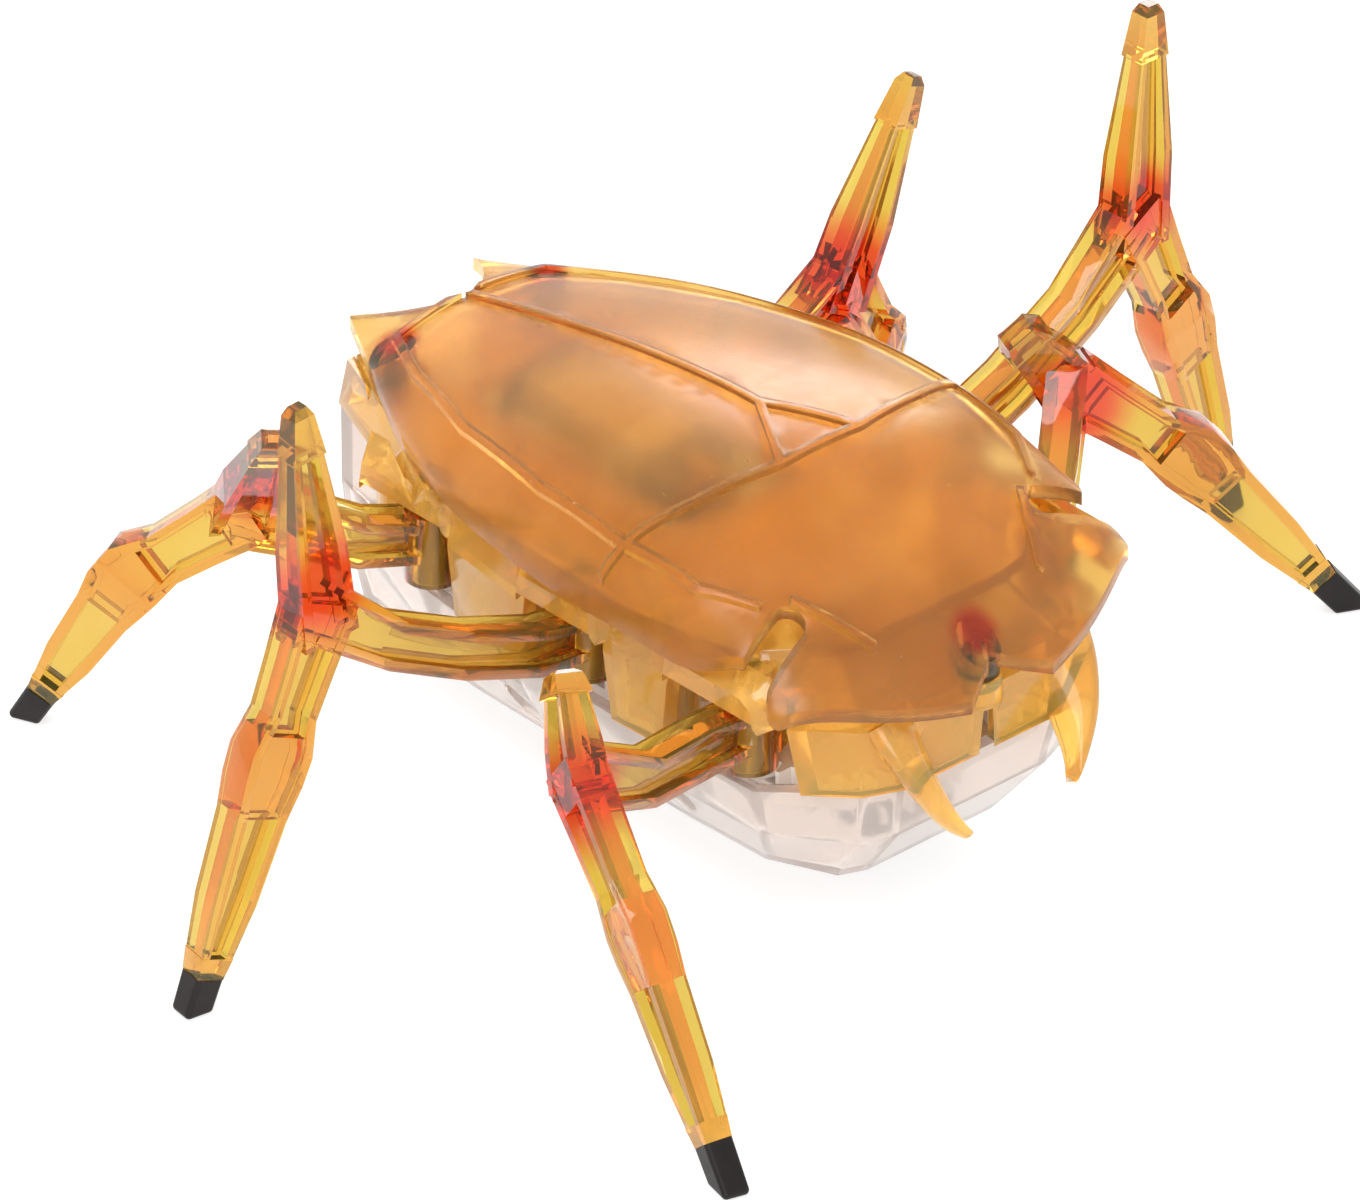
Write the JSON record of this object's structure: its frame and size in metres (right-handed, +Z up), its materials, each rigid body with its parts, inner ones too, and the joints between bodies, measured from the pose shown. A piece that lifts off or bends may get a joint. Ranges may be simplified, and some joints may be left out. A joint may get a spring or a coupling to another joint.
{
  "type": "hexapod walking robot toy",
  "caption": "Beetle-shaped walking toy robot: frosted amber top shell, clear lower housing, swinging channel-section amber legs with black rubber foot caps, geared drive inside.",
  "frame": {"origin": "on the floor under the middle of the bounding box", "axes": "+Z up; the robot heads towards -Y; +X to its left side"},
  "size_m": [0.0944, 0.0759, 0.043],
  "materials": {
    "frosted_amber_shell": "frosted translucent amber plastic with a pinkish sheen",
    "amber_housing": "clear amber injection-moulded plastic",
    "amber_leg": "clear amber injection-moulded plastic",
    "clear_pink_housing": "clear plastic with a faint pink tint",
    "white_plastic": "natural acetal",
    "steel": "plain steel",
    "brass": "plain brass",
    "black_plastic": "fine matt",
    "black_rubber": "smooth black rubber"
  },
  "bodies": {
    "chassis": {"skirt_housing": "amber_housing", "top_shell": "frosted_amber_shell", "lower_housing": "clear_pink_housing", "gear_deck": "white_plastic", "gear_axles": "steel", "motor_can": "steel", "motor_end_cap": "black_plastic", "motor_cradle": "white_plastic", "battery_cell_front": "steel", "battery_cell_rear": "steel", "battery_contacts": "brass", "shell_screws": "steel", "housing_screws": "steel", "leg_pivot_pins": "steel"},
    "battery_hatch": {"battery_door": "clear_pink_housing", "door_screw": "steel"},
    "power_switch": {"switch_slider": "black_plastic"},
    "reduction_gear": {"reduction_gear": "white_plastic"},
    "crown_gear": {"crown_gear": "white_plastic"},
    "motor_pinion": {"motor_pinion": "brass", "motor_shaft": "steel"},
    "crank_gear_right_front": {"crank_gear_right_front": "white_plastic"},
    "crank_gear_right_mid": {"crank_gear_right_mid": "white_plastic"},
    "crank_gear_right_rear": {"crank_gear_right_rear": "white_plastic"},
    "idler_gear_right_fore": {"idler_gear_right_fore": "white_plastic"},
    "idler_gear_right_aft": {"idler_gear_right_aft": "white_plastic"},
    "crank_gear_left_front": {"crank_gear_left_front": "white_plastic"},
    "crank_gear_left_mid": {"crank_gear_left_mid": "white_plastic"},
    "crank_gear_left_rear": {"crank_gear_left_rear": "white_plastic"},
    "idler_gear_left_fore": {"idler_gear_left_fore": "white_plastic"},
    "idler_gear_left_aft": {"idler_gear_left_aft": "white_plastic"},
    "leg_right_front": {"leg_right_front": "amber_leg", "foot_cap_right_front": "black_rubber"},
    "leg_right_mid": {"leg_right_mid": "amber_leg", "foot_cap_right_mid": "black_rubber"},
    "leg_right_rear": {"leg_right_rear": "amber_leg", "foot_cap_right_rear": "black_rubber"},
    "leg_left_front": {"leg_left_front": "amber_leg", "foot_cap_left_front": "black_rubber"},
    "leg_left_mid": {"leg_left_mid": "amber_leg", "foot_cap_left_mid": "black_rubber"},
    "leg_left_rear": {"leg_left_rear": "amber_leg", "foot_cap_left_rear": "black_rubber"}
  },
  "joints": [
    {"name": "reduction_gear_spin", "type": "hinge", "parent": "chassis", "child": "reduction_gear", "pos_m": [0, -0.01049, 0.0117], "axis": [0, 0, 1], "continuous": true},
    {"name": "crown_gear_spin", "type": "hinge", "parent": "chassis", "child": "crown_gear", "pos_m": [0, -0.00149, 0.016], "axis": [0, 0, 1], "continuous": true},
    {"name": "motor_shaft_spin", "type": "hinge", "parent": "chassis", "child": "motor_pinion", "pos_m": [0, 0.00371, 0.0192], "axis": [0, 1, 0], "continuous": true},
    {"name": "crank_gear_right_front_spin", "type": "hinge", "parent": "chassis", "child": "crank_gear_right_front", "pos_m": [-0.0065, -0.01515, 0.0117], "axis": [0, 0, 1], "continuous": true},
    {"name": "crank_gear_right_mid_spin", "type": "hinge", "parent": "chassis", "child": "crank_gear_right_mid", "pos_m": [-0.0065, 0.00035, 0.0117], "axis": [0, 0, 1], "continuous": true},
    {"name": "crank_gear_right_rear_spin", "type": "hinge", "parent": "chassis", "child": "crank_gear_right_rear", "pos_m": [-0.0065, 0.01585, 0.0117], "axis": [0, 0, 1], "continuous": true},
    {"name": "idler_gear_right_fore_spin", "type": "hinge", "parent": "chassis", "child": "idler_gear_right_fore", "pos_m": [-0.0065, -0.0074, 0.0117], "axis": [0, 0, 1], "continuous": true},
    {"name": "idler_gear_right_aft_spin", "type": "hinge", "parent": "chassis", "child": "idler_gear_right_aft", "pos_m": [-0.0065, 0.0081, 0.0117], "axis": [0, 0, 1], "continuous": true},
    {"name": "crank_gear_left_front_spin", "type": "hinge", "parent": "chassis", "child": "crank_gear_left_front", "pos_m": [0.0065, -0.01515, 0.0117], "axis": [0, 0, 1], "continuous": true},
    {"name": "crank_gear_left_mid_spin", "type": "hinge", "parent": "chassis", "child": "crank_gear_left_mid", "pos_m": [0.0065, 0.00035, 0.0117], "axis": [0, 0, 1], "continuous": true},
    {"name": "crank_gear_left_rear_spin", "type": "hinge", "parent": "chassis", "child": "crank_gear_left_rear", "pos_m": [0.0065, 0.01585, 0.0117], "axis": [0, 0, 1], "continuous": true},
    {"name": "idler_gear_left_fore_spin", "type": "hinge", "parent": "chassis", "child": "idler_gear_left_fore", "pos_m": [0.0065, -0.0074, 0.0117], "axis": [0, 0, 1], "continuous": true},
    {"name": "idler_gear_left_aft_spin", "type": "hinge", "parent": "chassis", "child": "idler_gear_left_aft", "pos_m": [0.0065, 0.0081, 0.0117], "axis": [0, 0, 1], "continuous": true},
    {"name": "leg_right_front_swing", "type": "hinge", "parent": "chassis", "child": "leg_right_front", "pos_m": [-0.0132, -0.01515, 0.016], "axis": [0, 0, 1], "range_deg": [-50, 0]},
    {"name": "leg_right_mid_swing", "type": "hinge", "parent": "chassis", "child": "leg_right_mid", "pos_m": [-0.0132, 0.00035, 0.016], "axis": [0, 0, 1], "range_deg": [-25, 25]},
    {"name": "leg_right_rear_swing", "type": "hinge", "parent": "chassis", "child": "leg_right_rear", "pos_m": [-0.013, 0.01585, 0.016], "axis": [0, 0, 1], "range_deg": [0, 34]},
    {"name": "leg_left_front_swing", "type": "hinge", "parent": "chassis", "child": "leg_left_front", "pos_m": [0.0132, -0.01515, 0.016], "axis": [0, 0, 1], "range_deg": [-50, 0]},
    {"name": "leg_left_mid_swing", "type": "hinge", "parent": "chassis", "child": "leg_left_mid", "pos_m": [0.0132, 0.00035, 0.016], "axis": [0, 0, 1], "range_deg": [-25, 25]},
    {"name": "leg_left_rear_swing", "type": "hinge", "parent": "chassis", "child": "leg_left_rear", "pos_m": [0.013, 0.01585, 0.016], "axis": [0, 0, 1], "range_deg": [0, 34]},
    {"name": "power_switch_slide", "type": "slide", "parent": "chassis", "child": "power_switch", "axis": [1, 0, 0], "range_m": [-0.0012, 0.0012]},
    {"name": "battery_hatch_lift_off", "type": "slide", "parent": "chassis", "child": "battery_hatch", "axis": [0, 0, -1], "range_m": [0, 0.012]}
  ],
  "couplings": [
    {"joint": "crown_gear_spin", "follows": "reduction_gear_spin", "ratio": -3.5},
    {"joint": "motor_shaft_spin", "follows": "reduction_gear_spin", "ratio": -10.5},
    {"joint": "crank_gear_right_front_spin", "follows": "reduction_gear_spin", "ratio": -0.6},
    {"joint": "crank_gear_right_mid_spin", "follows": "reduction_gear_spin", "ratio": -0.6},
    {"joint": "crank_gear_right_rear_spin", "follows": "reduction_gear_spin", "ratio": -0.6},
    {"joint": "idler_gear_right_fore_spin", "follows": "reduction_gear_spin", "ratio": 1.0909},
    {"joint": "idler_gear_right_aft_spin", "follows": "reduction_gear_spin", "ratio": 1.0909},
    {"joint": "crank_gear_left_front_spin", "follows": "reduction_gear_spin", "ratio": -0.6},
    {"joint": "crank_gear_left_mid_spin", "follows": "reduction_gear_spin", "ratio": -0.6},
    {"joint": "crank_gear_left_rear_spin", "follows": "reduction_gear_spin", "ratio": -0.6},
    {"joint": "idler_gear_left_fore_spin", "follows": "reduction_gear_spin", "ratio": 1.0909},
    {"joint": "idler_gear_left_aft_spin", "follows": "reduction_gear_spin", "ratio": 1.0909},
    {"joint": "leg_right_mid_swing", "follows": "leg_right_front_swing", "ratio": 0.5},
    {"joint": "leg_right_rear_swing", "follows": "leg_right_front_swing", "ratio": -0.68},
    {"joint": "leg_left_front_swing", "follows": "leg_right_front_swing", "ratio": 1},
    {"joint": "leg_left_mid_swing", "follows": "leg_right_front_swing", "ratio": 0.5},
    {"joint": "leg_left_rear_swing", "follows": "leg_right_front_swing", "ratio": -0.68}
  ]
}
